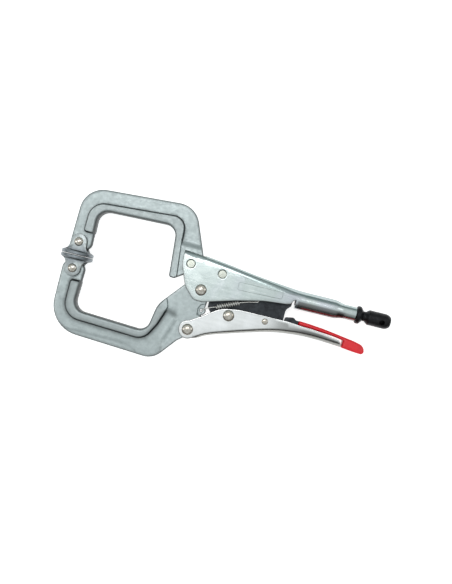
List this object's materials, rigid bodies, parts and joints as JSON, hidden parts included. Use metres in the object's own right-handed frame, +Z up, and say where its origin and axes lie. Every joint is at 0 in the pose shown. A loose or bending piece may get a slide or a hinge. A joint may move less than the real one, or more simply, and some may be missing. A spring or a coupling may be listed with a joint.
{
  "type": "locking c-clamp pliers",
  "caption": "Locking C-clamp pliers with a deep throat, swivel pads, folded steel handles, a knurled adjusting screw and a vinyl-dipped release lever.",
  "frame": {"origin": "under the middle of the whole tool as it lies flat, at the height of the lowest point of the swivel pads' rims", "axes": "+X along the adjusting screw towards its knob, +Y towards the fixed jaw and the upper handle, +Z up through the tool's thickness"},
  "size_m": [0.2784, 0.1302, 0.0265],
  "materials": {
    "pale_zinc": "pale zinc plate, satin",
    "forged_jaw": "satin zinc plate over a forged skin",
    "forged_pad": "satin zinc plate",
    "nickel_rivet": "warm bright nickel",
    "bright_chrome": "bright plate",
    "dark_steel": "blackened, semi-matt",
    "black_oxide": "black oxide, oiled",
    "spring_wire": "drawn wire",
    "red_vinyl": "dipped vinyl, soft gloss"
  },
  "bodies": {
    "frame": {"upper_handle": "pale_zinc", "fixed_jaw": "forged_jaw", "fixed_jaw_rivet_front": "nickel_rivet", "fixed_jaw_rivet_rear": "nickel_rivet", "main_pivot_rivet": "nickel_rivet", "fixed_pad_rivet": "nickel_rivet", "opening_spring": "spring_wire"},
    "lower_jaw": {"lower_jaw": "forged_jaw", "moving_pad_rivet": "nickel_rivet"},
    "lower_handle": {"lower_handle": "bright_chrome", "handle_pivot_rivet": "nickel_rivet", "toggle_pivot_rivet": "nickel_rivet", "release_lever_rivet": "nickel_rivet"},
    "toggle_link": {"toggle_link": "dark_steel"},
    "release_lever": {"release_lever": "dark_steel", "release_lever_grip": "red_vinyl"},
    "fixed_pad": {"fixed_swivel_pad": "forged_pad"},
    "moving_pad": {"moving_swivel_pad": "forged_pad"},
    "stop_ring": {"stop_ring": "black_oxide"},
    "adjusting_screw": {"adjusting_screw": "black_oxide"}
  },
  "joints": [
    {"name": "jaw_open", "type": "hinge", "parent": "frame", "child": "lower_jaw", "pos_m": [-0.01922, -0.00047, 0.01325], "axis": [0, 0, 1], "range_deg": [0, 20], "deforming": ["opening_spring"]},
    {"name": "handle_swing", "type": "hinge", "parent": "lower_jaw", "child": "lower_handle", "pos_m": [-0.02223, -0.03447, 0.01325], "axis": [0, 0, 1], "range_deg": [-53, 0]},
    {"name": "toggle_swing", "type": "hinge", "parent": "lower_handle", "child": "toggle_link", "pos_m": [0.00777, -0.01547, 0.01325], "axis": [0, 0, 1], "range_deg": [0, 61]},
    {"name": "lever_press", "type": "hinge", "parent": "lower_handle", "child": "release_lever", "pos_m": [0.03778, -0.01298, 0.01325], "axis": [0, 0, -1], "range_deg": [0, 3]},
    {"name": "fixed_pad_tilt", "type": "hinge", "parent": "frame", "child": "fixed_pad", "pos_m": [-0.12593, 0.01383, 0.01325], "axis": [0, 0, 1], "range_deg": [0, 10]},
    {"name": "moving_pad_tilt", "type": "hinge", "parent": "lower_jaw", "child": "moving_pad", "pos_m": [-0.12593, -0.00847, 0.01325], "axis": [0, 0, 1], "range_deg": [-10, 0]},
    {"name": "screw_travel", "type": "slide", "parent": "frame", "child": "stop_ring", "axis": [1, 0, 0], "range_m": [0, 0.024]},
    {"name": "screw_turn", "type": "hinge", "parent": "stop_ring", "child": "adjusting_screw", "pos_m": [0.11787, 0.01087, 0.01325], "axis": [1, 0, 0], "range_deg": [0, 5760]}
  ],
  "couplings": [
    {"joint": "handle_swing", "follows": "jaw_open", "ratio": -2.63},
    {"joint": "toggle_swing", "follows": "jaw_open", "ratio": 3.02},
    {"joint": "fixed_pad_tilt", "follows": "jaw_open", "ratio": 0.5},
    {"joint": "moving_pad_tilt", "follows": "jaw_open", "ratio": -0.5},
    {"joint": "screw_turn", "follows": "screw_travel", "rad_per_m": 4188.8}
  ]
}
